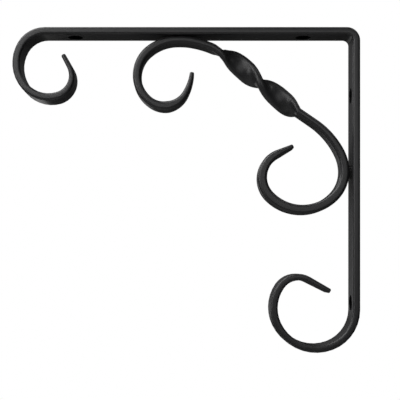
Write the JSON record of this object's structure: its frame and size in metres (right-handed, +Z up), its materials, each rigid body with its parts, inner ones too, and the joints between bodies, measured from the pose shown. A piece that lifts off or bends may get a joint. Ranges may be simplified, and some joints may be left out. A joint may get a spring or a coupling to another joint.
{
  "type": "shelf bracket",
  "caption": "Wrought-style L-shaped shelf bracket with scrolled ends and a twisted scroll brace welded inside the angle.",
  "frame": {"origin": "on the face that lies against the wall, halfway between the two screw holes of the wall leg", "axes": "+X into the wall, so the shelf leg runs towards -X; +Z up; Y across the width of the bars"},
  "size_m": [0.2092, 0.018, 0.196],
  "materials": {
    "black_coat": "satin black powder coat"
  },
  "bodies": {
    "root": {"angle_bar": "black_coat", "scroll_brace": "black_coat", "upper_weld": "black_coat", "lower_weld": "black_coat"}
  },
  "joints": []
}
